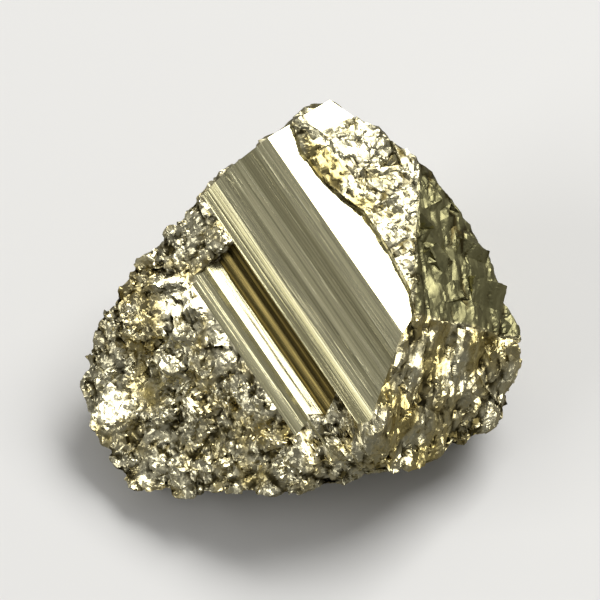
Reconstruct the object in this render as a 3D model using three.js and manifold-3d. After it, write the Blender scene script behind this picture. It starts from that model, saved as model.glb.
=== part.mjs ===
// A hand specimen of massive pyrite, as it broke out of the ore: one solid.
// Its body is blocky, with broken grainy faces. A band of striated crystal faces steps down
// the top, a bright flat strip runs beside it, and small cubes stick out of the grain.
// Millimetres, +Z up. The flat base lies on z = 0, with the origin below the middle.

import * as THREE from "three";
import { mergeVertices } from "three/addons/utils/BufferGeometryUtils.js";
import Module from "manifold-3d";

const wasm = await Module();
wasm.setup();

// Driving dimensions, in millimetres and degrees

// Every broken face stands off the heart of the stone by its reach. Bearing is the
// compass direction that a face looks in, from +X towards +Y, and tilt how far it looks up.
// Relief is how far its grain stands out or sinks in.
const heart = new THREE.Vector3(0, 0, 10);
const brokenFaces = [
  { name: "right side", bearing: -9.8, tilt: 45.2, reach: 13.2, relief: 0.5 },
  { name: "lower right", bearing: -37, tilt: 32.7, reach: 14.1, relief: 0.8 },
  { name: "front", bearing: -83.4, tilt: 30, reach: 15.8, relief: 0.7 },
  { name: "upper left edge", bearing: 137.9, tilt: 18.8, reach: 12.9, relief: 0.4 },
  { name: "left back", bearing: 129.4, tilt: 3, reach: 10.6, relief: 0.8 },
  { name: "left shoulder", bearing: 128.7, tilt: 14.5, reach: 12.4, relief: 0.5 },
  { name: "back", bearing: 57, tilt: 2.5, reach: 13.9, relief: 0.8 },
  { name: "right back", bearing: 42.6, tilt: -1.2, reach: 14.7, relief: 0.8 },
  { name: "right end", bearing: 27.7, tilt: -10.3, reach: 15.7, relief: 0.7 },
  { name: "left end", bearing: 158.5, tilt: -14.6, reach: 16.8, relief: 0.7 },
  { name: "left foot", bearing: -171, tilt: -35.4, reach: 19.1, relief: 0.7 },
  { name: "front left foot", bearing: -149.6, tilt: -43.4, reach: 19.7, relief: 0.6 },
  { name: "front foot", bearing: -76.6, tilt: -52.5, reach: 12.3, relief: 0.6 },
  { name: "front right foot", bearing: -64, tilt: -49, reach: 13.8, relief: 0.6 },
  { name: "right foot", bearing: -7.8, tilt: -32, reach: 18.4, relief: 0.7 },
  { name: "back foot", bearing: 75, tilt: -34, reach: 15.6, relief: 0.7 },
  { name: "left back foot", bearing: 128, tilt: -38, reach: 13.2, relief: 0.7 },
];

// The striated band: every ledge runs along one zone axis, down the top of the stone.
const zoneBearing = -56.25;
const zoneTilt = -12.7;
const bandEdgeTop = new THREE.Vector3(-3.33, 10.03, 22.5);
const brightStripLean = 8;
const leftSlopeLean = -41;
const shoulderEnd = 6.6;
const shoulderLedges = [{ name: "shoulder", lean: -36.6, width: 9, relief: 0.75 }];
const plateauLean = 6.5;
const plateauRise = 0.45;
const plateauRelief = 0.3;
const leftSlopeRelief = 0.75;

// The ledges from the band's bright edge to the left: lean of each face off the zone's
// upward direction, and its width measured on the face.
const upperLedges = [
  { name: "broad tread", lean: -18.6, width: 6.1 },
  { name: "groove side", lean: -32, width: 0.92 },
  { name: "rib", lean: -10, width: 0.81 },
];
const lowerLedges = [
  { name: "dark riser", lean: -72, width: 1.49 },
  { name: "golden ledge", lean: -35, width: 0.73 },
  { name: "second riser", lean: -72, width: 0.66 },
  { name: "bright ledge", lean: 8, width: 1.46 },
  { name: "third riser", lean: -60, width: 0.53 },
  { name: "grey rib", lean: -12, width: 1.51 },
];

// A second run of ledges, cut slantwise across the back of the stone
const rearBearing = 57;
const rearSlant = 24;
const rearRun = { from: -7, to: 6.5, reach: 13.9 };
const rearLedgesTop = [-0.4, 13];
const rearLedges = [
  { name: "rear face", lean: 88, width: 4.5 },
  { name: "rear undercut", lean: 150, width: 0.6 },
  { name: "rear face", lean: 91, width: 2.6 },
  { name: "rear undercut", lean: 145, width: 0.5 },
  { name: "rear face", lean: 88, width: 3.4 },
  { name: "rear step", lean: 20, width: 0.9 },
  { name: "rear face", lean: 92, width: 3.2 },
  { name: "rear undercut", lean: 150, width: 0.5 },
  { name: "rear face", lean: 90, width: 9 },
];

// Width of the bright strip at distances along it from the top of its straight edge
const brightStrip = [
  [-4, 2.6], [0.2, 2.6], [2.9, 2], [6.7, 2.15], [9.2, 2.85],
  [10.7, 3.6], [14.8, 3.5], [19.2, 2.9], [21.5, 1.7], [22.4, 0],
];
const cornerFacet = [[-4, 3.8], [1.1, 4.1], [3, 4.9], [3.6, 7.4], [2.2, 8.4], [-4, 10]];
const cornerFacetRise = 0.3;

// Grain: broken crystals, large lumps first, each size with its share of the relief
const grainSizes = [
  { size: 10.5, share: 1.3 },
  { size: 4.6, share: 0.9 },
  { size: 2.2, share: 0.5 },
];
const longestGrainEdge = 1.25;
const shortestEdge = 0.05;
const leastFootHeight = 0.15;

// A grain's edge lies this far from its middle, as a share of the grain's size
const grainHalfWidth = 0.42;

// The grain of the right side is drawn out into streaks along the ridge beside it
const ridge = { bearing: -95, tilt: -21 };
const streakStretch = 0.3;

// Crystals that broke or grew out of the grain, spread evenly over the broken ground. Only
// a corner or an edge of each cube stands out; every third one is a pit where one fell out.
const chipCount = 210;
const chipSize = { least: 2.2, most: 6.5 };
const chipStands = { least: 0.35, most: 1.15 };
const plateauChip = { size: 2, stands: 0.3 };
const pitEvery = 3;
const parallelShare = 0.3;
const smallSizesFavoured = 2;
const bandClearance = 1.2;
const clearOfEdge = 1 / 3;

// A notch in the left outline and a dip in the back edge of the plateau: direction from the
// heart, edge length of the block that is missing, how deep it reached and how it was turned
const notches = [
  { bearing: -173, tilt: -2, size: 4.6, sinks: 1.6, turn: [30, 35, 12] },
  { bearing: 56, tilt: 43, size: 5, sinks: 0.9, turn: [20, 30, 15] },
];

// A fixed scatter of values from 0 to 1, one for each set of whole numbers
const seedFactors = [73856093, 19349663, 83492791, 2654435];
const seedSpread = 2 ** 31 - 2;

function chance(...whole) {
  const seed = Math.abs(whole.reduce((sum, value, index) => sum + value * seedFactors[index], 0));
  return THREE.MathUtils.seededRandom(1 + (Math.round(seed) % seedSpread));
}

// Directions

function direction(bearing, tilt) {
  const b = THREE.MathUtils.degToRad(bearing);
  const e = THREE.MathUtils.degToRad(tilt);
  return new THREE.Vector3(Math.cos(e) * Math.cos(b), Math.cos(e) * Math.sin(b), Math.sin(e));
}

// A run of ledges has its own axes: along the ledges, sideways, and up off them
function runAxes(origin, bearing, tilt) {
  const along = direction(bearing, tilt);
  const sideways = direction(bearing + 90, 0);
  return { origin, along, sideways, up: along.clone().cross(sideways) };
}

function placeIn(axes, sideways, up, along) {
  return axes.origin.clone()
    .addScaledVector(axes.sideways, sideways)
    .addScaledVector(axes.up, up)
    .addScaledVector(axes.along, along);
}

function leaningIn(axes, lean) {
  const a = THREE.MathUtils.degToRad(lean);
  return axes.up.clone().multiplyScalar(Math.cos(a)).addScaledVector(axes.sideways, Math.sin(a));
}

const band = runAxes(bandEdgeTop, zoneBearing, zoneTilt);
const rearOrigin = heart.clone().addScaledVector(direction(rearBearing, 0), rearRun.reach);
const rear = runAxes(rearOrigin, rearBearing - 90, rearSlant);

// Faces of the stone: a plane each, with the relief of its grain, 0 on a crystal face

const faces = [];

function addFace(name, normal, point, relief) {
  const face = { name, normal: normal.clone().normalize(), relief };
  face.offset = face.normal.dot(point);
  faces.push(face);
  return face;
}

// Solids

const bigBlock = 90;
const samePoint = 1e-5;

function toSolid(geometry) {
  geometry.deleteAttribute("normal");
  geometry.deleteAttribute("uv");
  const merged = mergeVertices(geometry, samePoint);
  return new wasm.Manifold(new wasm.Mesh({
    numProp: 3,
    vertProperties: new Float32Array(merged.attributes.position.array),
    triVerts: new Uint32Array(merged.index.array),
  }));
}

// Everything beyond a face, as a block lying on it
function beyond(face) {
  const geometry = new THREE.BoxGeometry(bigBlock, bigBlock, bigBlock);
  geometry.translate(0, 0, bigBlock / 2);
  const turn = new THREE.Quaternion().setFromUnitVectors(new THREE.Vector3(0, 0, 1), face.normal);
  geometry.applyQuaternion(turn);
  const foot = face.normal.clone().multiplyScalar(face.offset);
  geometry.translate(foot.x, foot.y, foot.z);
  return toSolid(geometry);
}

// A prism over an outline, in a frame given by its three axes and its origin
function prism(outline, length, xAxis, yAxis, zAxis, origin) {
  const shape = new THREE.Shape(outline.map(([x, y]) => new THREE.Vector2(x, y)));
  const geometry = new THREE.ExtrudeGeometry(shape, { depth: length, bevelEnabled: false });
  const frame = new THREE.Matrix4().makeBasis(xAxis, yAxis, zAxis);
  frame.setPosition(origin);
  geometry.applyMatrix4(frame);
  return toSolid(geometry);
}

// Where each ledge of a run starts and ends, as sideways and upward distances. A run goes
// to the left down the top of the stone, or the other way, down its back.
function ledgeProfile(axes, start, ledges, course) {
  const points = [start];
  let [sideways, up] = start;
  for (const ledge of ledges) {
    const a = THREE.MathUtils.degToRad(ledge.lean);
    const relief = ledge.relief ?? 0;
    addFace(ledge.name, leaningIn(axes, ledge.lean), placeIn(axes, sideways, up, 0), relief);
    sideways -= course * ledge.width * Math.cos(a);
    up += course * ledge.width * Math.sin(a);
    points.push([sideways, up]);
  }
  return points;
}

// The room over a run of ledges, from one distance along it to another. Where it starts
// beside a room that is cut already, it leans over that, so that no film of stone stays.
const room = 30;
const overlap = 0.6;
const roomAbove = [0, room];
const roomLeaning = [room / 6, room];
const roomBehind = [room, 0];

function ledgeRoom(axes, profile, [aside, up], from, to) {
  const far = profile.map(([x, y]) => [x + aside, y + up]);
  const outline = [...profile, far[far.length - 1], far[0]];
  const origin = placeIn(axes, 0, 0, from);
  return prism(outline, to - from, axes.sideways, axes.up, axes.along, origin);
}

// The room above a flat outline beside the band's straight edge
function facetRoom(outline, lean, rise) {
  const up = leaningIn(band, lean);
  const right = up.clone().cross(band.along);
  const origin = bandEdgeTop.clone().addScaledVector(up, rise);
  return prism(outline, room, band.along, right, up, origin);
}

// The body: a block with every broken face cut, then the band cut into it

function buildBody() {
  const start = new THREE.BoxGeometry(bigBlock, bigBlock, bigBlock / 2);
  start.translate(0, 0, bigBlock / 4);
  let body = toSolid(start);
  for (const spec of brokenFaces) {
    const normal = direction(spec.bearing, spec.tilt);
    const point = heart.clone().addScaledVector(normal, spec.reach);
    body = body.subtract(beyond(addFace(spec.name, normal, point, spec.relief)));
  }

  const bright = leaningIn(band, brightStripLean);
  const plateauPoint = bandEdgeTop.clone().addScaledVector(bright, plateauRise);
  const plateau = addFace("plateau", leaningIn(band, plateauLean), plateauPoint, plateauRelief);
  body = body.subtract(beyond(plateau));

  const toLeft = 1;
  const upper = ledgeProfile(band, [0, 0], upperLedges, toLeft);
  const lower = ledgeProfile(band, upper[upper.length - 1], lowerLedges, toLeft);
  const [slopeX, slopeY] = lower[lower.length - 1];
  const slopeTop = placeIn(band, slopeX, slopeY, 0);
  const slope = addFace("left slope", leaningIn(band, leftSlopeLean), slopeTop, leftSlopeRelief);
  body = body.subtract(beyond(slope));

  const bandStart = -20;
  const bandEnd = 45;
  body = body.subtract(ledgeRoom(band, upper, roomAbove, bandStart, bandEnd));
  body = body.subtract(ledgeRoom(band, lower, roomLeaning, shoulderEnd, bandEnd));
  const shoulder = ledgeProfile(band, upper[upper.length - 1], shoulderLedges, toLeft);
  body = body.subtract(ledgeRoom(band, shoulder, roomLeaning, bandStart, shoulderEnd + overlap));
  const back = ledgeProfile(rear, rearLedgesTop, rearLedges, -toLeft);
  body = body.subtract(ledgeRoom(rear, back, roomBehind, rearRun.from, rearRun.to));

  const lastStrip = brightStrip[brightStrip.length - 1][0];
  const nearSide = [[brightStrip[0][0], -overlap], [lastStrip, -overlap]];
  const strip = [...nearSide, ...brightStrip.slice().reverse()];
  body = body.subtract(facetRoom(strip, brightStripLean, 0));
  addFace("bright strip", bright, bandEdgeTop, 0);
  body = body.subtract(facetRoom(cornerFacet, brightStripLean, cornerFacetRise));
  addFace("corner facet", bright, bandEdgeTop.clone().addScaledVector(bright, cornerFacetRise), 0);
  return { body, bandWidth: -slopeX, bandDepth: -slopeY };
}

// The point and the face where a line from the heart leaves the broken ground
function groundAlong(way, ground) {
  let reach = Infinity;
  let hit = null;
  for (const face of ground) {
    const closing = face.normal.dot(way);
    const distance = (face.offset - face.normal.dot(heart)) / closing;
    if (closing > 0 && distance < reach) {
      reach = distance;
      hit = face;
    }
  }
  return { face: hit, point: heart.clone().addScaledVector(way, reach) };
}

// A cube set so deep that only a corner stands out of the ground, or so high, for a pit,
// that only a corner reaches into it
function cubeAt({ face, point }, size, turn, stands, isPit) {
  const halfReach = halfReachAlong(face.normal, size, turn);
  const lift = isPit ? halfReach - stands : stands - halfReach;
  return { size, turn, isPit, middle: point.clone().addScaledVector(face.normal, lift) };
}

function halfReachAlong(way, size, turn) {
  const own = way.clone().applyQuaternion(turn.clone().invert());
  return (size / 2) * (Math.abs(own.x) + Math.abs(own.y) + Math.abs(own.z));
}

// Moves a crystal in, where it would stand out too far past another face
function settle(cube, ground, stands) {
  for (const face of ground) {
    const reach = face.normal.dot(cube.middle) + halfReachAlong(face.normal, cube.size, cube.turn);
    const excess = reach - face.offset - stands;
    if (excess > 0) {
      cube.middle.addScaledVector(face.normal, -excess);
    }
  }
  return cube;
}

function cubeSolid({ size, turn, middle }) {
  const geometry = new THREE.BoxGeometry(size, size, size);
  geometry.applyQuaternion(turn);
  geometry.translate(middle.x, middle.y, middle.z);
  return toSolid(geometry);
}

// A cube's six flat faces: they look out of a crystal, and into a pit
function addCubeFaces({ size, turn, middle, isPit }) {
  for (const axis of [[1, 0, 0], [0, 1, 0], [0, 0, 1]]) {
    for (const side of [-1, 1]) {
      const normal = new THREE.Vector3(...axis).multiplyScalar(side).applyQuaternion(turn);
      const point = middle.clone().addScaledVector(normal, size / 2);
      addFace("crystal", normal.multiplyScalar(isPit ? -1 : 1), point, 0);
    }
  }
}

function between({ least, most }, share) {
  return least + (most - least) * share;
}

// How far a point lies outside the band
const stripWidest = Math.max(...brightStrip.map(([, width]) => width));
const bandLength = 27;

function bandDistance(point, bandWidth, bandDepth) {
  const from = point.clone().sub(bandEdgeTop);
  const sideways = from.dot(band.sideways);
  const up = from.dot(band.up);
  const along = from.dot(band.along);
  const outSideways = Math.max(sideways - stripWidest, -bandWidth - sideways, 0);
  const outBelow = Math.max(-bandDepth - up, 0);
  const outAlong = Math.max(along - bandLength, -along, 0);
  return Math.hypot(outSideways, outBelow, outAlong);
}

function onRearLedges(point, margin) {
  const along = point.clone().sub(rear.origin).dot(rear.along);
  return along > rearRun.from - margin && along < rearRun.to + margin;
}

// The smooth facet in the corner of the plateau
function onCornerFacet(point, margin) {
  const from = point.clone().sub(bandEdgeTop);
  const lowest = Math.max(...cornerFacet.map(([along]) => along));
  const nearest = Math.min(...cornerFacet.map(([, sideways]) => sideways));
  return from.dot(band.along) < lowest + margin && from.dot(band.sideways) > nearest - margin;
}

// Directions spread evenly all round
function evenDirection(number, count) {
  const goldenAngle = 137.508;
  const height = 1 - (2 * (number + 0.5)) / count;
  return direction(number * goldenAngle, THREE.MathUtils.radToDeg(Math.asin(height)));
}

function chips(ground, bandWidth, bandDepth) {
  const parallel = new THREE.Quaternion().setFromRotationMatrix(
    new THREE.Matrix4().makeBasis(band.sideways, band.up, band.along),
  );
  const found = [];
  for (let number = 0; number < chipCount; number += 1) {
    const place = groundAlong(evenDirection(number, chipCount), ground);
    const draw = (salt) => chance(number, 1, 1, salt);
    const onPlateau = place.face.name === "plateau";
    const size = onPlateau ? plateauChip.size : between(chipSize, draw(1) ** smallSizesFavoured);
    const stands = onPlateau ? plateauChip.stands : between(chipStands, draw(2));
    const turn = new THREE.Quaternion().setFromEuler(
      new THREE.Euler(draw(3) * Math.PI, draw(4) * Math.PI, draw(5) * Math.PI),
    );
    if (draw(6) < parallelShare) {
      turn.copy(parallel);
    }
    const margin = size * clearOfEdge;
    const clearOfBand = bandDistance(place.point, bandWidth, bandDepth) > bandClearance + margin;
    const clearOfRear = place.face.name !== "back" || !onRearLedges(place.point, margin);
    const clearOfCorner = place.face.name !== "plateau" || !onCornerFacet(place.point, margin);
    if (clearOfBand && clearOfRear && clearOfCorner && place.point.z > margin) {
      const isPit = number % pitEvery === 0;
      const cube = cubeAt(place, size, turn, stands, isPit);
      found.push(isPit ? cube : settle(cube, ground, stands));
    }
  }
  return found;
}

function addCrystals({ body, bandWidth, bandDepth }) {
  const ground = faces.filter((face) => face.relief > 0);
  const missing = notches.map(({ bearing, tilt, size, sinks, turn }) => {
    const place = groundAlong(direction(bearing, tilt), ground);
    const angles = new THREE.Euler(...turn.map(THREE.MathUtils.degToRad));
    return cubeAt(place, size, new THREE.Quaternion().setFromEuler(angles), sinks, true);
  });
  let stone = body;
  for (const cube of [...missing, ...chips(ground, bandWidth, bandDepth)]) {
    const solid = cubeSolid(cube);
    stone = cube.isPit ? stone.subtract(solid) : stone.add(solid);
    addCubeFaces(cube);
  }
  const base = addFace("base", new THREE.Vector3(0, 0, -1), new THREE.Vector3(), 0);
  return stone.subtract(beyond(base));
}

// The stone as points and triangles, each triangle knowing the face it lies on

const onFace = 0.004;
const sameSide = 0.5;

function faceOf(a, b, c) {
  const normal = b.clone().sub(a).cross(c.clone().sub(a)).normalize();
  let best = null;
  let bestMiss = onFace;
  for (const face of faces) {
    const miss = Math.max(...[a, b, c].map((p) => Math.abs(face.normal.dot(p) - face.offset)));
    if (miss < bestMiss && normal.dot(face.normal) > sameSide) {
      best = face;
      bestMiss = miss;
    }
  }
  return best;
}

function openMesh(solid) {
  const mesh = solid.getMesh();
  const points = [];
  for (let i = 0; i < mesh.vertProperties.length; i += mesh.numProp) {
    points.push(new THREE.Vector3(...mesh.vertProperties.slice(i, i + 3)));
  }
  const triangles = [];
  for (let i = 0; i < mesh.triVerts.length; i += 3) {
    const corners = Array.from(mesh.triVerts.slice(i, i + 3));
    const face = faceOf(...corners.map((corner) => points[corner]));
    triangles.push({ corners, face });
  }
  return { points, triangles };
}

// Broken ground is grainy; crystal faces, step walls and the base are not
function isGrainy(triangle) {
  return triangle.face !== null && triangle.face.relief > 0;
}

// Edges, each with the triangles that use it
const edgeKey = (i, j) => (i < j ? `${i} ${j}` : `${j} ${i}`);

function edgesOf(triangles) {
  const edges = new Map();
  triangles.forEach((triangle, index) => {
    for (let k = 0; k < 3; k += 1) {
      const i = triangle.corners[k];
      const j = triangle.corners[(k + 1) % 3];
      const key = edgeKey(i, j);
      if (!edges.has(key)) {
        edges.set(key, { i, j, users: [] });
      }
      edges.get(key).users.push(index);
    }
  });
  return [...edges.values()];
}

function opposite(triangle, i, j) {
  return triangle.corners.find((corner) => corner !== i && corner !== j);
}

function withCorner(triangle, from, to) {
  const corners = triangle.corners.map((corner) => (corner === from ? to : corner));
  return { corners, face: triangle.face };
}

// Joins points that lie almost on each other into the lower one, where the surface stays
// whole by it, so that what touches the base stays on it
function joinClosePoints({ points, triangles }) {
  let kept = triangles;
  let joined = true;
  while (joined) {
    joined = false;
    const around = points.map(() => new Set());
    for (const { i, j } of edgesOf(kept)) {
      around[i].add(j);
      around[j].add(i);
    }
    for (const { i, j } of edgesOf(kept)) {
      const shared = [...around[i]].filter((other) => around[j].has(other)).length;
      if (!joined && shared === 2 && points[i].distanceTo(points[j]) < shortestEdge) {
        const [lower, upper] = points[i].z < points[j].z ? [i, j] : [j, i];
        kept = kept.filter(({ corners }) => !(corners.includes(i) && corners.includes(j)));
        kept = kept.map((triangle) => withCorner(triangle, upper, lower));
        joined = true;
      }
    }
  }
  const used = [...new Set(kept.flatMap(({ corners }) => corners))];
  const renumbered = new Map(used.map((corner, index) => [corner, index]));
  return {
    points: used.map((corner) => points[corner]),
    triangles: kept.map(({ corners, face }) => ({
      corners: corners.map((corner) => renumbered.get(corner)),
      face,
    })),
  };
}

// Halves the longest edges first, until the grainy faces are finely divided
function divideGrain(mesh) {
  const { points } = mesh;
  let { triangles } = mesh;
  let busy = true;
  while (busy) {
    const long = edgesOf(triangles)
      .map((edge) => ({ ...edge, length: points[edge.i].distanceTo(points[edge.j]) }))
      .filter((edge) => edge.length > longestGrainEdge
        && edge.users.some((user) => isGrainy(triangles[user])))
      .sort((one, two) => two.length - one.length);
    busy = long.length > 0;
    const changed = new Set();
    for (const { i, j, users } of long) {
      if (!users.some((user) => changed.has(user))) {
        const middle = points.push(points[i].clone().lerp(points[j], 0.5)) - 1;
        for (const user of users) {
          changed.add(user);
          const triangle = triangles[user];
          triangles[user] = withCorner(triangle, j, middle);
          triangles.push(withCorner(triangle, i, middle));
        }
      }
    }
    triangles = evenOut(points, triangles);
  }
  return { points, triangles };
}

const leastGain = 0.05;

function cornerAngle(points, at, i, j) {
  return points[i].clone().sub(points[at]).angleTo(points[j].clone().sub(points[at]));
}

// Turns the shared edge of two triangles on one face where that makes them less thin
function evenOut(points, triangles) {
  const taken = new Set(edgesOf(triangles).map(({ i, j }) => edgeKey(i, j)));
  const changed = new Set();
  for (const { i, j, users } of edgesOf(triangles)) {
    const [one, two] = users;
    const sameFace = triangles[one].face !== null && triangles[one].face === triangles[two].face;
    if (sameFace && !changed.has(one) && !changed.has(two)) {
      const a = opposite(triangles[one], i, j);
      const b = opposite(triangles[two], i, j);
      const open = cornerAngle(points, a, i, j) + cornerAngle(points, b, i, j);
      if (open > Math.PI + leastGain && !taken.has(edgeKey(a, b))) {
        triangles[one] = withCorner(triangles[one], j, b);
        triangles[two] = withCorner(triangles[two], i, a);
        taken.add(edgeKey(a, b));
        changed.add(one);
        changed.add(two);
      }
    }
  }
  return triangles;
}

// Grain relief: the distance into the nearest of many small cubes, each turned its own way

function cubeGrain(point, size) {
  const cell = point.clone().divideScalar(size);
  const home = cell.clone().floor();
  const offset = new THREE.Vector3();
  const turn = new THREE.Euler();
  let nearest = Infinity;
  for (let i = home.x - 1; i <= home.x + 1; i += 1) {
    for (let j = home.y - 1; j <= home.y + 1; j += 1) {
      for (let k = home.z - 1; k <= home.z + 1; k += 1) {
        offset.set(i + chance(i, j, k, 1), j + chance(i, j, k, 2), k + chance(i, j, k, 3));
        offset.sub(cell);
        turn.set(...[4, 5, 6].map((salt) => chance(i, j, k, salt) * Math.PI));
        offset.applyEuler(turn);
        nearest = Math.min(nearest, Math.max(...offset.toArray().map(Math.abs)));
      }
    }
  }
  return 1 - nearest / grainHalfWidth;
}

const ridgeWay = direction(ridge.bearing, ridge.tilt);

function grainAt(point, streaked) {
  const place = point.clone();
  if (streaked) {
    place.addScaledVector(ridgeWay, (streakStretch - 1) * point.dot(ridgeWay));
  }
  return grainSizes.reduce((sum, { size, share }) => sum + share * cubeGrain(place, size), 0);
}

// Moves every point of the broken ground out or in by its grain. Points on the border of
// a crystal face stay, so that its edges stay sharp, and points on the base stay on it.
function roughen({ points, triangles }) {
  const ways = points.map(() => new THREE.Vector3());
  const reliefs = points.map(() => Infinity);
  const streaked = points.map(() => false);
  for (const triangle of triangles) {
    const [a, b, c] = triangle.corners.map((corner) => points[corner]);
    const way = b.clone().sub(a).cross(c.clone().sub(a));
    for (const corner of triangle.corners) {
      ways[corner].add(way);
      reliefs[corner] = Math.min(reliefs[corner], isGrainy(triangle) ? triangle.face.relief : 0);
      streaked[corner] = streaked[corner] || triangle.face?.name === "right side";
    }
  }
  points.forEach((point, index) => {
    const onBase = point.z < onFace;
    const step = reliefs[index] * grainAt(point, streaked[index]);
    point.addScaledVector(ways[index].normalize(), step);
    point.z = onBase ? 0 : Math.max(point.z, leastFootHeight);
  });
}

// The finished stone

const stone = divideGrain(joinClosePoints(openMesh(addCrystals(buildBody()))));
roughen(stone);

const geometry = new THREE.BufferGeometry().setFromPoints(stone.points);
geometry.setIndex(stone.triangles.flatMap((triangle) => triangle.corners));
geometry.computeBoundingBox();
const box = geometry.boundingBox;
geometry.translate(-(box.min.x + box.max.x) / 2, -(box.min.y + box.max.y) / 2, -box.min.z);
geometry.computeVertexNormals();

const pyrite = new THREE.MeshStandardMaterial({ color: 0xcbc6a7, metalness: 1, roughness: 0.35 });
const specimen = new THREE.Mesh(geometry, pyrite);
specimen.name = "pyrite_specimen";

const group = new THREE.Group();
group.add(specimen);

export default group;
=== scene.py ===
# Pyrite specimen: a broken piece of massive pyrite with a band of striated crystal faces.
# Objects are in metres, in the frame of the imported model, +Z up. Values in mm are turned to
# metres where they are used.

import math
import random

import bmesh
import bpy
import numpy as np
from mathutils import Matrix, Vector, kdtree


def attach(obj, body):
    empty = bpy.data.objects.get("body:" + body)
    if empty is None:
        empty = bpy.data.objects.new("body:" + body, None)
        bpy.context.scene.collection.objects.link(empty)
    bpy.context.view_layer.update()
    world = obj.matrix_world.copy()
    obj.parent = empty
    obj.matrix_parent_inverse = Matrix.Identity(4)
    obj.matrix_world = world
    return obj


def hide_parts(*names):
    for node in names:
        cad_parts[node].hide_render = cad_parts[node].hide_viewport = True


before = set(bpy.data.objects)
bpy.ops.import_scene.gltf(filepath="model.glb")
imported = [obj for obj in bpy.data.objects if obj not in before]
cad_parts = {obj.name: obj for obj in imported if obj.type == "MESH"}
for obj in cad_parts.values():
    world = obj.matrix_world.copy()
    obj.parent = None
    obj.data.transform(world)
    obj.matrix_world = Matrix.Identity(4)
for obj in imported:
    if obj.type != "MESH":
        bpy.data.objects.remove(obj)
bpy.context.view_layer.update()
mm = 0.001


# Directions: bearing is the compass direction from +X towards +Y, tilt how far it looks up

def direction(bearing, tilt):
    b = math.radians(bearing)
    e = math.radians(tilt)
    return Vector((math.cos(e) * math.cos(b), math.cos(e) * math.sin(b), math.sin(e)))


def runAxes(origin, bearing, tilt):  # a run of ledges: along it, sideways, and up off it
    along = direction(bearing, tilt)
    sideways = direction(bearing + 90, 0)
    return {
        "origin": Vector(origin) * mm,
        "along": along,
        "sideways": sideways,
        "up": along.cross(sideways),
    }


def placeOn(axes, point):  # sideways, up and along, in metres from the run's origin
    offset = point - axes["origin"]
    return offset.dot(axes["sideways"]), offset.dot(axes["up"]), offset.dot(axes["along"])


# The stone

stone = {
    "node": "pyrite_specimen",
    "heart": (0.07, 1.65, 10),        # mm, the point that the bearings below look from
    "seed": 5,

    # The band of ledges on top, and where on it a flat spot counts as one of its faces
    "bandTop": (-3.263, 11.678, 22.5),  # mm, top end of its straight bright edge
    "bandBearing": -56.25,
    "bandTilt": -12.7,
    "bandLeft": -12.2,                # mm sideways
    "bandBelow": -8,                  # mm under the bright edge
    "bandAbove": 1.5,                 # mm over it
    "bandStart": -5,                  # mm along
    "stripReach": 4.5,                # mm, how far the bright strip reaches sideways
    "cornerReach": 10,                # mm, and the corner facet beside its top
    "cornerEnd": 5,                   # mm along, where that facet ends
    "stripFrom": 0.1,                 # mm sideways, from where on a ledge is a mirror
    "tarnishedAndShadedFrom": -7.36,           # mm sideways, where the ledges are tarnished and painted dark as shade
    "tarnishedAndShadedTo": -8.64,

    # The run of ledges on the back
    "rearTop": (7.637, 13.305, 10),   # mm, its middle
    "rearBearing": -33,
    "rearTilt": 24,
    "rearReach": 8,                   # mm along, to either side
    "rearFacing": 0.1,                # how far its faces look backwards, at least

    # What is flat enough
    "weld": 0.0015,                   # mm, points closer than this are one
    "flatDepth": 0.003,               # mm, how far a flat spot's points may lie off its plane
    "flatTurn": 0.9,                  # how alike its faces look, 1 being the same way
    "offZone": 0.02,                  # how far a ledge may look along its own run
    "leastFlat": 16,                  # mm², a flat spot larger than this is a crystal face
    "leastLedge": 0.9,                # mm², and on a run of ledges this is enough
    "baseFacing": -0.99,              # the face that it rests on looks down
    "baseDepth": 0.3,                 # mm, and is this low

    # Fine mesh and grain
    "cutSnap": 0.004,                 # mm, a cut this close to a point goes through it
    "longestEdge": 0.31,              # mm, of the broken ground
    "longestBaseEdge": 0.8,           # mm, of the face that it rests on
    "halvings": 5,                    # times that longer edges are halved, at most
    "grains": [(1.9, 0.54), (0.85, 0.25)],  # mm, size of the grains and how far they stand
    "grainTurn": 8,                   # degrees that all grains are turned off the band
    "grainLean": 0.35,                # how far one is turned off the others, in radians
    "grainHalfWidth": 0.42,           # half a cube's width, as a share of its cell
    "grainPasses": 5,                 # steps that a point takes to a cube's face
    "grainStep": 0.9,                 # share of the way to it that each step goes
    "margin": 0.5,                    # mm from a crystal face in which the grain fades in
    "groundDepth": 2.2,               # mm, how deep the broken faces below reach
    "groundFade": 0.3,                # mm, from one of them to the next
    "patchCore": 1.5,                 # how far a patch stays whole before it fades
    "lowestGrain": 0.01,              # mm, points lower than this stay on the ground
    "lowestPoint": 0.02,              # mm, and no other point is moved below this
    "baseGrain": (2.4, 0.5),          # mm, size and depth of the hollows where it rests
    "grainSalt": 10,                  # so that each size of grain has draws of its own
    "baseSalt": 40,                   # and the hollows too
}

# Kinds of surface, in the order of the stone's materials
broken, striated, mirror, rear, crystal, base, tarnishedAndShaded = range(7)
onBand = (striated, tarnishedAndShaded, mirror)

band = runAxes(stone["bandTop"], stone["bandBearing"], stone["bandTilt"])
rearRun = runAxes(stone["rearTop"], stone["rearBearing"], stone["rearTilt"])

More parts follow.
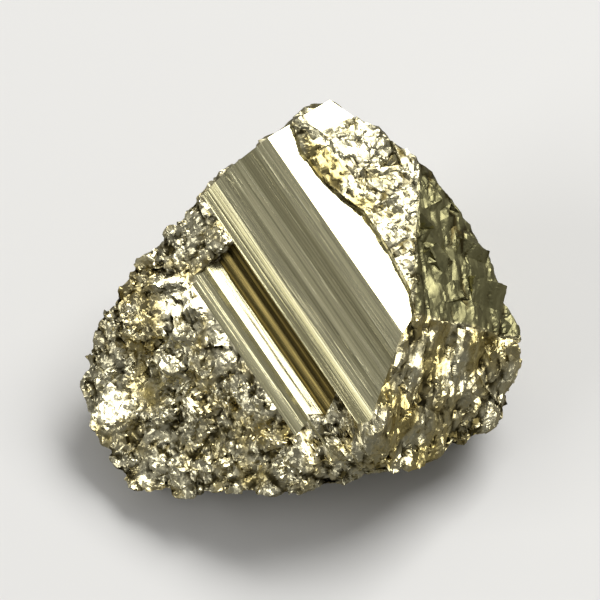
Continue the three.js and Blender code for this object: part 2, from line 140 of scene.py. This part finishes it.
# Borders of the band's ledges, in mm sideways from its bright edge, with the number of fine
# strips on each and how far these lean, in degrees
ledges = [
    {"from": 4.2, "to": 0, "strips": 3, "lean": 0.4},            # bright strip
    {"from": 0, "to": -5.78, "strips": 21, "lean": 4},           # broad tread
    {"from": -5.78, "to": -6.56, "strips": 4, "lean": 6},        # side of the groove
    {"from": -6.56, "to": -7.36, "strips": 5, "lean": 5},        # rib
    {"from": -7.36, "to": -7.82, "strips": 3, "lean": 8},        # dark riser
    {"from": -7.82, "to": -8.42, "strips": 4, "lean": 10},       # golden ledge
    {"from": -8.42, "to": -8.62, "strips": 1, "lean": 4},        # second riser
    {"from": -8.62, "to": -10.07, "strips": 9, "lean": 15},      # bright ledge
    {"from": -10.07, "to": -10.33, "strips": 1, "lean": 4},      # third riser
    {"from": -10.33, "to": -11.81, "strips": 6, "lean": 6},      # grey rib
]
stripWander = 0.3  # how far a strip's border may lie off its even place, in strip widths

# Where the corner facet and the lower ledges end in broken ground: mm sideways, mm along,
# and the break's slant in degrees
ledgeEnds = [
    {"from": 10, "to": 4.5, "along": 2.05, "slant": 0},
    {"from": -7.36, "to": -8.64, "along": 23.8, "slant": 30},
    {"from": -8.64, "to": -10.2, "along": 23.5, "slant": -25},
    {"from": -10.2, "to": -13, "along": 24.2, "slant": 20},
]


def mergedCopy(node):
    bm = bmesh.new()
    bm.from_mesh(node.data)
    bmesh.ops.remove_doubles(bm, verts=bm.verts, dist=stone["weld"] * mm)
    return bm


# Faces that lie in one plane and touch, from the largest face on
def flatRegions(bm):
    bm.normal_update()
    taken = set()
    regions = []
    for seed in sorted(bm.faces, key=lambda face: -face.calc_area()):
        if seed in taken:
            continue
        region = [seed]
        taken.add(seed)
        normal = seed.normal.copy()
        level = normal.dot(seed.verts[0].co)
        for face in region:
            for edge in face.edges:
                for other in edge.link_faces:
                    if other in taken or normal.dot(other.normal) < stone["flatTurn"]:
                        continue
                    depths = [abs(normal.dot(vert.co) - level) for vert in other.verts]
                    if max(depths) < stone["flatDepth"] * mm:
                        taken.add(other)
                        region.append(other)
        regions.append((region, normal))
    return regions


def kindOf(region, normal):
    area = sum(face.calc_area() for face in region) / mm / mm
    if area < stone["leastLedge"]:
        return broken
    middle = sum((face.calc_center_median() * face.calc_area() for face in region), Vector())
    middle /= area * mm * mm
    if normal.z < stone["baseFacing"] and middle.z < stone["baseDepth"] * mm:
        return base
    sideways, up, along = placeOn(band, middle)
    reach = stone["cornerReach"] if along < stone["cornerEnd"] * mm else stone["stripReach"]
    inBand = (
        stone["bandLeft"] * mm < sideways < reach * mm
        and stone["bandBelow"] * mm < up < stone["bandAbove"] * mm
        and along > stone["bandStart"] * mm
    )
    if inBand and abs(normal.dot(band["along"])) < stone["offZone"]:
        # the groove's sunk ledges get a dark brown that is tarnish and painted shade
        if stone["tarnishedAndShadedFrom"] * mm > sideways > stone["tarnishedAndShadedTo"] * mm:
            return tarnishedAndShaded
        return mirror if sideways > stone["stripFrom"] * mm else striated
    along = placeOn(rearRun, middle)[2]
    inRear = abs(along) < stone["rearReach"] * mm and normal.y > stone["rearFacing"]
    if inRear and abs(normal.dot(rearRun["along"])) < stone["offZone"]:
        return rear
    return crystal if area > stone["leastFlat"] else broken


def markKinds(bm):
    for region, normal in flatRegions(bm):
        kind = kindOf(region, normal)
        for face in region:
            face.material_index = kind


def inTriangles(bm):
    bmesh.ops.triangulate(bm, faces=[face for face in bm.faces if len(face.verts) > 3])


# A sliver can be halved into two faces on the same three points, back to back: both go
def dropTwins(bm):
    byPoints = {}
    for edge in bm.edges:
        if len(edge.link_faces) > 2:
            for face in edge.link_faces:
                faces = byPoints.setdefault(frozenset(face.verts), [])
                if face not in faces:
                    faces.append(face)
    twins = [face for faces in byPoints.values() if len(faces) > 1 for face in faces]
    bmesh.ops.delete(bm, geom=twins, context="FACES")


# Halves the long edges of one kind of ground, a few times over
def refine(bm, kind, longest):
    for _ in range(stone["halvings"]):
        long = [
            edge for edge in bm.edges
            if edge.calc_length() > longest
            and any(face.material_index == kind for face in edge.link_faces)
        ]
        bmesh.ops.subdivide_edges(bm, edges=long, cuts=1)
        inTriangles(bm)
        dropTwins(bm)
        print("stone: halved", len(long), "edges,", len(bm.faces), "faces")


# Where the fine strips of the ledges meet, and how far each line is raised or sunk
def stripLines(dice):
    lines = []
    for ledge in ledges:
        width = (ledge["from"] - ledge["to"]) / ledge["strips"]
        wander = [dice.uniform(-stripWander, stripWander) for _ in range(ledge["strips"] - 1)]
        inner = [(place + shift) * width for place, shift in enumerate(wander, start=1)]
        places = [0, *inner, ledge["from"] - ledge["to"]]
        heights = [0]
        for near, far in zip(places, places[1:]):
            lean = math.radians(dice.uniform(-ledge["lean"], ledge["lean"]))
            heights.append(heights[-1] + math.tan(lean) * (far - near))
        drift = heights[-1] / places[-1]
        lines += [(ledge["from"] - p, h - drift * p) for p, h in zip(places, heights)]
    return lines


# Cuts some faces by a plane and gives back the pieces
def cutFaces(bm, faces, point, way):
    edges = list({edge for face in faces for edge in face.edges})
    verts = list({vert for face in faces for vert in face.verts})
    cut = bmesh.ops.bisect_plane(
        bm, geom=verts + edges + faces, dist=stone["cutSnap"] * mm, plane_co=point, plane_no=way,
    )
    return [part for part in cut["geom"] if isinstance(part, bmesh.types.BMFace)]


def cutBand(bm, lines):
    for sideways, _ in lines:
        faces = [face for face in bm.faces if face.material_index in onBand]
        point = band["origin"] + band["sideways"] * sideways * mm
        cutFaces(bm, faces, point, band["sideways"])
    inTriangles(bm)


def breakEnds(bm):
    for end in ledgeEnds:
        slant = math.radians(end["slant"])
        way = band["along"] * math.cos(slant) + band["sideways"] * math.sin(slant)
        middle = (end["from"] + end["to"]) / 2
        point = band["origin"] + (band["sideways"] * middle + band["along"] * end["along"]) * mm
        faces = [
            face for face in bm.faces
            if face.material_index in onBand
            and end["to"] * mm < placeOn(band, face.calc_center_median())[0] < end["from"] * mm
        ]
        for face in cutFaces(bm, faces, point, way):
            if way.dot(face.calc_center_median() - point) > 0:
                face.material_index = broken
    inTriangles(bm)


def raiseStrips(bm, lines):
    lines = sorted(lines)
    places = [place * mm for place, _ in lines]
    heights = [height * mm for _, height in lines]
    for vert in bm.verts:
        kinds = {face.material_index for face in vert.link_faces}
        if kinds.intersection(onBand) and broken not in kinds:
            sideways = placeOn(band, vert.co)[0]
            vert.co += band["up"] * float(np.interp(sideways, places, heights))


# Large primes that scramble a cell's three numbers and its salt, and one that stirs them on
scramblers = [73856093, 19349663, 83492791, 26544357]
stirrer = 73244475


# A fixed value from 0 to 1 for each whole-numbered cell of space
def cellChance(cells, salt):
    x, y, z = (cells[:, k] * scramblers[k] for k in range(3))
    mixed = x ^ y ^ z ^ salt * scramblers[3]
    for _ in range(2):
        mixed = (mixed ^ mixed >> 15) * stirrer & 0xFFFFFFFF
    return (mixed ^ mixed >> 16 & 0xFFFF) % 0xFFFFFF / 0xFFFFFF


# Turns offsets where they are, in the plane of two of their axes
def turn(offsets, angle, first, second):
    c = np.cos(angle)
    s = np.sin(angle)
    a = offsets[:, first].copy()
    b = offsets[:, second].copy()
    offsets[:, first] = c * a - s * b
    offsets[:, second] = s * a + c * b


# Distance to the middle of the nearest of many small cubes, each turned a little off the
# crystal's own axes, as a share of their cell
def cubeDistance(points, size, salt):
    lean = math.radians(stone["grainTurn"])
    ownUp = band["up"] * math.cos(lean) + band["sideways"] * math.sin(lean)
    own = np.array([band["along"].cross(ownUp), ownUp, band["along"]])
    cell = points / size
    home = np.floor(cell).astype(np.int64)
    nearest = np.full(len(points), np.inf)
    for step in np.ndindex(3, 3, 3):
        near = home + np.array(step) - 1
        draws = [cellChance(near, salt + k) for k in range(6)]
        offsets = (near + np.stack(draws[:3], axis=1) - cell) @ own.T
        for draw, pair in zip(draws[3:], [(0, 1), (1, 2), (2, 0)]):
            turn(offsets, (draw - 0.5) * 2 * stone["grainLean"], *pair)
        nearest = np.minimum(nearest, np.abs(offsets).max(axis=1))
    return nearest


# How far each point moves along its normal to lie on a face of those cubes
def cubeSteps(points, normals, size, most, salt):
    height = np.zeros(len(points))
    for _ in range(stone["grainPasses"]):
        here = points + normals * height[:, None]
        out = (stone["grainHalfWidth"] - cubeDistance(here, size, salt)) * size
        height = np.clip(height + out * stone["grainStep"], -most, most)
    return height


# Broken ground: its share of the grain's relief, how much its small facets lean, its share of
# deeper brass and of an olive film that also darkens it as painted shade, and how far its grain is
# drawn out
plainGround = {"relief": 0.3, "lean": 1, "brass": 0.1, "filmAndPaintedShade": 0.1, "drawn": 1}

# Three faces differ from the rest: where each looks, as seen from the heart, and how far it
# stands off it, in mm
grounds = [
    {  # plateau beside the bright strip
        "bearing": -29, "tilt": 75.8, "reach": 10.66,
        "relief": 0.12, "lean": 0.42, "brass": 0, "filmAndPaintedShade": 0.32, "drawn": 1,
    },
    {  # right side
        "bearing": -9.8, "tilt": 45.2, "reach": 13.2,
        # its full olive film also darkens this side as painted shade
        "relief": 0.14, "lean": 0.2, "brass": 0.3, "filmAndPaintedShade": 1, "drawn": 0.25,
    },
    {  # lower right
        "bearing": -37, "tilt": 32.7, "reach": 14.1,
        "relief": 0.24, "lean": 0.9, "brass": 0.45, "filmAndPaintedShade": 0.2, "drawn": 0.5,
    },
]
ridge = direction(-95, -21)  # the right side's grain is drawn out along it

# Patches of the broken ground: where each lies as seen from the heart, how wide it is in mm,
# and how much it has of one trait. Crystals that all look the way of the bright ledges make a
# patch bright, and a thicker tarnish makes it brass.
patches = [
    {"trait": "bright", "bearing": -167, "tilt": 20, "width": 4, "most": 1.5},
    {"trait": "bright", "bearing": -135, "tilt": 22, "width": 3, "most": 0.9},
    {"trait": "bright", "bearing": -162, "tilt": -4, "width": 2, "most": 0.9},
    {"trait": "bright", "bearing": -153, "tilt": -11, "width": 2.6, "most": 1.1},
    {"trait": "bright", "bearing": -135, "tilt": -13, "width": 2, "most": 0.7},
    {"trait": "bright", "bearing": -134, "tilt": -17, "width": 1.6, "most": 0.7},
    {"trait": "bright", "bearing": -89, "tilt": 4, "width": 1.6, "most": 0.8},
    {"trait": "bright", "bearing": -42, "tilt": 18, "width": 1.7, "most": 0.9},
    {"trait": "bright", "bearing": -33, "tilt": 9, "width": 1.7, "most": 0.8},
    {"trait": "bright", "bearing": -11, "tilt": 29, "width": 1.4, "most": 0.6},
    {"trait": "brass", "bearing": 75, "tilt": 58, "width": 3.4, "most": 1},
    {"trait": "brass", "bearing": 52, "tilt": 72, "width": 2.4, "most": 0.9},
    {"trait": "brass", "bearing": -62, "tilt": 20, "width": 3, "most": 0.8},
    {"trait": "brass", "bearing": -55, "tilt": 8, "width": 3, "most": 0.8},
    {"trait": "brass", "bearing": 178, "tilt": 10, "width": 3.4, "most": 0.8},
]


# How much of a patch each point gets, from 0 outside it to 1 well inside
def patchShare(points, patch):
    way = np.array(direction(patch["bearing"], patch["tilt"]))
    off = points - np.array(stone["heart"])
    aside = np.linalg.norm(off - (off @ way)[:, None] * way, axis=1)
    share = np.clip(stone["patchCore"] - aside / (patch["width"] / 2), 0, 1)
    return share * (off @ way > 0)


# How far each point belongs to each ground, from 0 to 1: it lies on the one that it stands
# out of furthest, and the change from one to the next takes a fraction of a millimetre
def groundShares(points):
    ways = np.array([direction(ground["bearing"], ground["tilt"]) for ground in grounds])
    reaches = np.array([ground["reach"] for ground in grounds])
    out = (points - np.array(stone["heart"])) @ ways.T - reaches
    others = [np.delete(out, number, axis=1).max(axis=1) for number in range(len(grounds))]
    near = np.clip(stone["groundDepth"] - np.abs(out), 0, 1)
    return near * np.clip((out - np.array(others).T) / stone["groundFade"] + 0.5, 0, 1)


# How much of the full grain a point gets: none on the edge of a crystal face
def grainShare(bm, verts):
    fixed = [
        vert for vert in bm.verts
        if any(face.material_index not in (broken, base) for face in vert.link_faces)
    ]
    tree = kdtree.KDTree(len(fixed))
    for number, vert in enumerate(fixed):
        tree.insert(vert.co, number)
    tree.balance()
    far = np.array([tree.find(vert.co)[2] for vert in verts])
    return np.clip(far / (stone["margin"] * mm), 0, 1)


# Moves the broken ground's points onto the grain, and keeps what the material needs to know
def roughen(bm):
    names = ["cavity", "lean", "brass", "filmAndPaintedShade", "bright", "streak"]
    layers = {name: bm.verts.layers.float.new(name) for name in names}
    bm.normal_update()
    verts = [
        vert for vert in bm.verts if any(face.material_index == broken for face in vert.link_faces)
    ]
    points = np.array([vert.co for vert in verts]) / mm
    normals = np.array([vert.normal for vert in verts])
    traits = {name: np.full(len(verts), float(value)) for name, value in plainGround.items()}
    for ground, share in zip(grounds, groundShares(points).T):
        for name, values in traits.items():
            values += (share > 0.5 if name == "drawn" else share) * (ground[name] - values)
    along = (traits["drawn"] - 1) * (points @ np.array(ridge))
    places = points + along[:, None] * np.array(ridge)
    depth = np.zeros(len(verts))
    salt = stone["grainSalt"]
    for number, (size, most) in enumerate(stone["grains"]):
        depth += cubeSteps(places + normals * depth[:, None], normals, size, most, number * salt)
    deepest = sum(most for _, most in stone["grains"])
    steps = depth * traits["relief"] * grainShare(bm, verts)
    # the material paints deeper points dark brown, as tarnish and painted shade
    traits["cavity"] = np.clip(-depth / deepest, 0, 1)
    traits["streak"] = traits["drawn"] - 1
    traits["bright"] = np.zeros(len(verts))
    for patch in patches:
        share = patchShare(points, patch) * patch["most"]
        traits[patch["trait"]] = np.maximum(traits[patch["trait"]], share)
    for name, layer in layers.items():
        for vert, value in zip(verts, traits[name]):
            vert[layer] = float(value)
    for vert, normal, step in zip(verts, normals, steps):
        if vert.co.z > stone["lowestGrain"] * mm:
            vert.co += Vector(normal) * float(step) * mm
            vert.co.z = max(vert.co.z, stone["lowestPoint"] * mm)


# The face that it rests on is hollow here and there, and touches the ground in between
def roughenBase(bm):
    verts = [v for v in bm.verts if all(f.material_index == base for f in v.link_faces)]
    points = np.array([vert.co for vert in verts]) / mm
    size, relief = stone["baseGrain"]
    outside = cubeDistance(points, size, stone["baseSalt"]) - stone["grainHalfWidth"]
    hollow = np.clip(outside, 0, 1) * relief
    for vert, step in zip(verts, hollow):
        vert.co.z += float(step) * mm


def makeStone(materials):
    bm = mergedCopy(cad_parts[stone["node"]])
    print("stone: merged", len(bm.faces))
    markKinds(bm)
    lines = stripLines(random.Random(stone["seed"]))
    cutBand(bm, lines)
    breakEnds(bm)
    print("stone: band cut", len(bm.faces))
    refine(bm, broken, stone["longestEdge"] * mm)
    refine(bm, base, stone["longestBaseEdge"] * mm)
    print("stone: refined", len(bm.faces))
    raiseStrips(bm, lines)
    roughen(bm)
    roughenBase(bm)
    mesh = bpy.data.meshes.new("pyriteStone")
    bm.to_mesh(mesh)
    bm.free()
    for material in materials:
        mesh.materials.append(material)
    piece = bpy.data.objects.new("pyriteStone", mesh)
    bpy.context.scene.collection.objects.link(piece)
    print("stone: finished", len(mesh.polygons))
    return piece


# Materials

def hexColour(text):  # sRGB hex to linear
    parts = [int(text[k:k + 2], 16) / 255 for k in (0, 2, 4)]
    return [p / 12.92 if p < 0.04045 else ((p + 0.055) / 1.055) ** 2.4 for p in parts] + [1]


# Inputs go by name, or by number where a node has several of one name. On a Mix node 0 is
# the share, 2 and 3 are values, and 6 and 7 are colours.
def addNode(tree, kind, settings=None, inputs=None):
    node = tree.nodes.new(kind)
    for name, value in (settings or {}).items():
        setattr(node, name, value)
    for name, value in (inputs or {}).items():
        if isinstance(value, bpy.types.NodeSocket):
            tree.links.new(value, node.inputs[name])
        else:
            node.inputs[name].default_value = value
    return node


def newMaterial(name):
    material = bpy.data.materials.new(name)
    material.use_nodes = True
    tree = material.node_tree
    shader = tree.nodes["Principled BSDF"]
    shader.inputs["Metallic"].default_value = 1
    return material, tree, shader


noiseRange = {"From Min": 0.3, "From Max": 0.7}  # nearly all of a noise pattern lies in this


# Object coordinates in millimetres
def millimetres(tree):
    place = addNode(tree, "ShaderNodeTexCoord").outputs["Object"]
    scale = (1 / mm,) * 3
    return addNode(tree, "ShaderNodeMapping", inputs={"Vector": place, "Scale": scale}).outputs[0]


# Massive pyrite, freshly broken: an iron sulphide of metallic lustre. Its many small
# crystals give hard glints beside dark gaps, and the gaps are painted dark brown, part tarnish and
# part painted shade.
brokenPyrite = {
    "pale": "CAC3A4",
    "brass": "B8A76C",
    # dark brown of the gaps: tarnish and painted shade
    "tarnishAndPaintedShade": "4A4227",
    # olive film colour, which is also painted shade where the film is thick
    "filmAndPaintedShade": "837F5B",
    "grain": 0.6,         # mm, small crystals between the modelled ones
    "grainLean": 2.6,     # how far these turn to the ways below
    "fineGrain": 0.15,    # mm
    "fineLean": 0.4,
    "ownWay": 0.22,       # share of each one's way that is its own
    "patchLean": 3,       # how far a bright patch turns to the first of the ways
    "stain": 3.2,         # mm, blotches of deeper brass
    "stainRarest": 0.52,  # height of the blotch pattern where brass starts, on pale ground
    "stainMost": 0.2,     # and on brassy ground
    "stainEdge": 0.2,     # how softly a blotch starts
    "cavityFrom": 0.35,   # depth, as a share of the deepest, from which the tarnish and painted shade gather
    "speckle": 0.625,     # mm, spots of finer and coarser polish
    "polish": (0.16, 0.4),  # roughness of the finest and the coarsest
    "filmDull": 0.16,     # how much rougher the film makes it
}

# The ways that faces of the crystal look: where each starts on the scale from 0 to 1, the
# way, and how strongly the small facets turn to it
facetWays = [
    (0.0, (0.237, -0.104, 0.966), 1),
    (0.36, (-0.753, -0.585, 0.301), 0.35),
    (0.6, (0.542, -0.811, -0.22), 0.35),
    (0.8, (0.831, 0.556, 0), 0.3),
]


# Every cell of the pattern leans towards one of those ways, as small facets do
def leaningCells(tree, place, normal, size, lean):
    cells = addNode(
        tree, "ShaderNodeTexVoronoi", {"feature": "F1"}, {"Vector": place, "Scale": 1 / size},
    ).outputs["Color"]
    pick = addNode(tree, "ShaderNodeSeparateColor", inputs={0: cells}).outputs[0]
    ramp = addNode(tree, "ShaderNodeValToRGB", inputs={0: pick})
    ramp.color_ramp.interpolation = "CONSTANT"
    while len(ramp.color_ramp.elements) < len(facetWays):
        ramp.color_ramp.elements.new(0.5)
    for element, (start, way, strength) in zip(ramp.color_ramp.elements, facetWays):
        element.position = start
        element.color = [0.5 + part * strength / 2 for part in way] + [1]
    mixed = addNode(
        tree, "ShaderNodeMix", {"data_type": "RGBA"},
        {0: brokenPyrite["ownWay"], 6: ramp.outputs[0], 7: cells},
    ).outputs[2]
    way = addNode(
        tree, "ShaderNodeVectorMath", {"operation": "SUBTRACT"}, {0: mixed, 1: (0.5, 0.5, 0.5)},
    ).outputs[0]
    share = addNode(tree, "ShaderNodeAttribute", {"attribute_name": "lean"}).outputs["Fac"]
    strength = addNode(
        tree, "ShaderNodeMath", {"operation": "MULTIPLY"}, {0: share, 1: lean},
    ).outputs[0]
    scaled = addNode(
        tree, "ShaderNodeVectorMath", {"operation": "SCALE"}, {0: way, "Scale": strength},
    ).outputs[0]
    added = addNode(
        tree, "ShaderNodeVectorMath", {"operation": "ADD"}, {0: scaled, 1: normal},
    ).outputs[0]
    return addNode(tree, "ShaderNodeVectorMath", {"operation": "NORMALIZE"}, {0: added}).outputs[0]


# The pattern's place, drawn out along the ridge as far as the ground's grain is
def streaked(tree, place):
    along = addNode(
        tree, "ShaderNodeVectorMath", {"operation": "DOT_PRODUCT"}, {0: place, 1: ridge},
    ).outputs["Value"]
    streak = addNode(tree, "ShaderNodeAttribute", {"attribute_name": "streak"}).outputs["Fac"]
    shift = addNode(
        tree, "ShaderNodeMath", {"operation": "MULTIPLY"}, {0: along, 1: streak},
    ).outputs[0]
    offset = addNode(
        tree, "ShaderNodeVectorMath", {"operation": "SCALE"}, {0: ridge, "Scale": shift},
    ).outputs[0]
    return addNode(
        tree, "ShaderNodeVectorMath", {"operation": "ADD"}, {0: place, 1: offset},
    ).outputs[0]


def makeBroken():
    v = brokenPyrite
    material, tree, shader = newMaterial("pyriteBroken")
    place = streaked(tree, millimetres(tree))
    normal = addNode(tree, "ShaderNodeNewGeometry").outputs["Normal"]
    bright, brass, filmAndPaintedShade, cavity = (
        addNode(tree, "ShaderNodeAttribute", {"attribute_name": name}).outputs["Fac"]
        for name in ("bright", "brass", "filmAndPaintedShade", "cavity")
    )

    # Facets: bright patches turn as one, and small crystals lean each its own way
    strength = addNode(
        tree, "ShaderNodeMath", {"operation": "MULTIPLY"}, {0: bright, 1: v["patchLean"]},
    ).outputs[0]
    towards = addNode(
        tree, "ShaderNodeVectorMath", {"operation": "SCALE"},
        {0: facetWays[0][1], "Scale": strength},
    ).outputs[0]
    patched = addNode(
        tree, "ShaderNodeVectorMath", {"operation": "ADD"}, {0: towards, 1: normal},
    ).outputs[0]
    coarse = leaningCells(tree, place, patched, v["grain"], v["grainLean"])
    fine = leaningCells(tree, place, coarse, v["fineGrain"], v["fineLean"])

    # Colour: pale, with blotches of brass, an olive film with painted shade on some faces, and
    # tarnish with painted shade in the gaps
    blotch = addNode(
        tree, "ShaderNodeTexNoise",
        inputs={"Vector": place, "Scale": 1 / v["stain"], "Detail": 4, "Roughness": 0.6},
    ).outputs["Fac"]
    least = addNode(
        tree, "ShaderNodeMapRange",
        inputs={"Value": brass, "To Min": v["stainRarest"], "To Max": v["stainMost"]},
    ).outputs[0]
    most = addNode(
        tree, "ShaderNodeMath", {"operation": "ADD"}, {0: least, 1: v["stainEdge"]},
    ).outputs[0]
    blotchShare = addNode(
        tree, "ShaderNodeMapRange", inputs={"Value": blotch, "From Min": least, "From Max": most},
    ).outputs[0]
    depth = addNode(
        tree, "ShaderNodeMapRange",
        inputs={"Value": cavity, "From Min": v["cavityFrom"], "From Max": 1},
    ).outputs[0]
    colour = hexColour(v["pale"])
    for share, name in [(blotchShare, "brass"), (filmAndPaintedShade, "filmAndPaintedShade"), (depth, "tarnishAndPaintedShade")]:
        colour = addNode(
            tree, "ShaderNodeMix", {"data_type": "RGBA"},
            {0: share, 6: colour, 7: hexColour(v[name])},
        ).outputs[2]

    # Polish: spotted, and duller under the film
    speckle = addNode(
        tree, "ShaderNodeTexNoise",
        inputs={"Vector": place, "Scale": 1 / v["speckle"], "Detail": 2},
    ).outputs["Fac"]
    gloss = addNode(
        tree, "ShaderNodeMapRange",
        inputs={
            **noiseRange, "Value": speckle, "To Min": v["polish"][0], "To Max": v["polish"][1],
        },
    ).outputs[0]
    roughness = addNode(
        tree, "ShaderNodeMath", {"operation": "MULTIPLY_ADD"},
        {0: filmAndPaintedShade, 1: v["filmDull"], 2: gloss},
    ).outputs[0]
    tree.links.new(colour, shader.inputs["Base Color"])
    tree.links.new(roughness, shader.inputs["Roughness"])
    tree.links.new(fine, shader.inputs["Normal"])
    return material


# Crystal faces of pyrite, as grown: flat and bright, with fine lines along the zone, which
# draw a reflection out across them.
grownPyrite = {
    "light": "D0CAA4",
    "dark": "9A9470",
    "lineWidth": 0.16,      # mm
    "lineLength": 30,       # mm
    "broadLines": 0.22,     # how many broad lines there are to one fine one
    "broadShare": 0.55,     # how far these set the colour
    "lightFrom": 0.4,       # share of the pattern that stays dark, and where it is fully light
    "lightTo": 0.6,
    "bump": 0.6,
    "bumpDepth": 0.05,      # mm
    "roughness": 0.2,
    "roughnessSpread": 0.4,  # how much more or less of it the lines have
}

# The growth face beside the band: a mirror with hardly a line
mirrorFace = {"dark": "CFC9A6", "bump": 0.15, "roughness": 0.12}

# Small crystal faces elsewhere, etched a little dull
smallCrystals = {"bump": 0.3, "roughness": 0.25}

# A brown film on the sunk ledges, worn through in thin golden lines; its dark brown also paints
# the shade of the sunk groove
tarnishedAndShadedLines = {
    "light": "B09C5E",
    "dark": "4A4124",
    "lineWidth": 0.12,
    "lightFrom": 0.48,
    "lightTo": 0.62,
    "bump": 0.8,
    "roughness": 0.3,
}


def makeGrown(name, axes, changes=None):
    v = {**grownPyrite, **(changes or {})}
    material, tree, shader = newMaterial(name)
    place = millimetres(tree)
    turned = Matrix((axes["sideways"], axes["up"], axes["along"])).to_euler()
    own = addNode(
        tree, "ShaderNodeMapping", inputs={"Vector": place, "Rotation": turned},
    ).outputs[0]
    lineScale = (1 / v["lineWidth"], 1 / v["lineWidth"], 1 / v["lineLength"])
    drawn = addNode(
        tree, "ShaderNodeMapping", inputs={"Vector": own, "Scale": lineScale},
    ).outputs[0]
    lines = addNode(
        tree, "ShaderNodeTexNoise",
        inputs={"Vector": drawn, "Scale": 1, "Detail": 3, "Roughness": 0.7},
    ).outputs["Fac"]
    broad = addNode(
        tree, "ShaderNodeTexNoise",
        inputs={"Vector": drawn, "Scale": v["broadLines"], "Detail": 1},
    ).outputs["Fac"]
    both = addNode(
        tree, "ShaderNodeMix", {"data_type": "FLOAT"}, {0: v["broadShare"], 2: lines, 3: broad},
    ).outputs[0]
    share = addNode(
        tree, "ShaderNodeMapRange",
        inputs={"Value": both, "From Min": v["lightFrom"], "From Max": v["lightTo"]},
    ).outputs[0]
    colour = addNode(
        tree, "ShaderNodeMix", {"data_type": "RGBA"},
        {0: share, 6: hexColour(v["dark"]), 7: hexColour(v["light"])},
    ).outputs[2]
    relief = addNode(
        tree, "ShaderNodeBump",
        inputs={"Height": lines, "Strength": v["bump"], "Distance": v["bumpDepth"] * mm},
    ).outputs[0]
    smoothest = v["roughness"] * (1 - v["roughnessSpread"])
    roughest = v["roughness"] * (1 + v["roughnessSpread"])
    rough = addNode(
        tree, "ShaderNodeMapRange",
        inputs={**noiseRange, "Value": lines, "To Min": smoothest, "To Max": roughest},
    ).outputs[0]
    tree.links.new(colour, shader.inputs["Base Color"])
    tree.links.new(relief, shader.inputs["Normal"])
    tree.links.new(rough, shader.inputs["Roughness"])
    return material


brokenGround = makeBroken()
materials = [
    brokenGround,
    makeGrown("pyriteStriated", band),
    makeGrown("pyriteMirrorFace", band, mirrorFace),
    makeGrown("pyriteRearLedges", rearRun),
    makeGrown("pyriteSmallCrystals", band, smallCrystals),
    brokenGround,
    makeGrown("pyriteTarnishedAndShadedLedges", band, tarnishedAndShadedLines),
]
print("materials: made")
piece = makeStone(materials)
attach(piece, "root")
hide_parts(stone["node"])


# Floor, light and camera

studio = {
    "view": (-0.203, 1.206, 11.69),  # mm, the point in the middle of the picture
    "elevation": 55,
    "distance": 550,                 # mm
    "pictureWidth": 54,              # mm across the picture at that distance
    "sensor": 36,                    # mm
    "clip": (0.05, 20),              # m, nearest and furthest that the camera sees
    "floor": "DDDCD9",
    "floorMirrored": "8A877E",       # the floor as the metal mirrors it, held back
    "floorRoughness": 0.8,
    "floorSize": 4,                  # m, from the middle to a side
    "ambient": 0.22,
}

# Soft boxes: the way to each from the stone, how far off and how large it is in metres, and
# how bright
softBoxes = [
    {
        "name": "keyLight", "way": (0.40, 0.40, 0.825),
        "distance": 1.1, "size": (0.8, 0.6), "bright": 8,
    },
    {
        "name": "topLight", "way": (0.0, 0.12, 0.99),
        "distance": 1.3, "size": (0.9, 0.9), "bright": 0.3,
    },
    {
        "name": "leftLight", "way": (-0.80, -0.30, 0.5),
        "distance": 1.2, "size": (0.7, 0.7), "bright": 3,
    },
    {
        "name": "rightCard", "way": (0.95, -0.3, 0.25),
        "distance": 1.2, "size": (0.3, 0.4), "bright": 0.35,
    },
]


def addSoftBox(spec):
    light = bpy.data.lights.new(spec["name"], "AREA")
    light.shape = "RECTANGLE"
    light.size, light.size_y = spec["size"]
    light.energy = spec["bright"] * math.pi * light.size * light.size_y
    lamp = bpy.data.objects.new(spec["name"], light)
    way = Vector(spec["way"]).normalized()
    lamp.location = Vector(studio["view"]) * mm + way * spec["distance"]
    lamp.rotation_euler = way.to_track_quat("Z", "Y").to_euler()
    bpy.context.scene.collection.objects.link(lamp)


def addFloor():
    bm = bmesh.new()
    bmesh.ops.create_grid(bm, x_segments=1, y_segments=1, size=studio["floorSize"])
    mesh = bpy.data.meshes.new("floor")
    bm.to_mesh(mesh)
    bm.free()
    material = bpy.data.materials.new("paleFloor")
    material.use_nodes = True
    tree = material.node_tree
    shader = tree.nodes["Principled BSDF"]
    shader.inputs["Roughness"].default_value = studio["floorRoughness"]
    glossy = addNode(tree, "ShaderNodeLightPath").outputs["Is Glossy Ray"]
    colour = addNode(
        tree, "ShaderNodeMix", {"data_type": "RGBA"},
        {0: glossy, 6: hexColour(studio["floor"]), 7: hexColour(studio["floorMirrored"])},
    ).outputs[2]
    tree.links.new(colour, shader.inputs["Base Color"])
    mesh.materials.append(material)
    floor = bpy.data.objects.new("floor", mesh)
    bpy.context.scene.collection.objects.link(floor)


def addWorld():
    world = bpy.data.worlds.new("studio")
    world.use_nodes = True
    background = world.node_tree.nodes["Background"]
    background.inputs["Color"].default_value = (1, 1, 1, 1)
    background.inputs["Strength"].default_value = studio["ambient"]
    bpy.context.scene.world = world


def addCamera():
    lens = bpy.data.cameras.new("camera")
    lens.sensor_width = studio["sensor"]
    lens.lens = lens.sensor_width * studio["distance"] / studio["pictureWidth"]
    lens.clip_start, lens.clip_end = studio["clip"]
    camera = bpy.data.objects.new("camera", lens)
    toCamera = direction(-90, studio["elevation"])
    camera.location = (Vector(studio["view"]) + toCamera * studio["distance"]) * mm
    camera.rotation_euler = (-toCamera).to_track_quat("-Z", "Y").to_euler()
    bpy.context.scene.collection.objects.link(camera)
    bpy.context.scene.camera = camera


for spec in softBoxes:
    addSoftBox(spec)
addFloor()
addWorld()
addCamera()
bpy.context.scene.view_settings.view_transform = "Standard"
print("studio: ready")
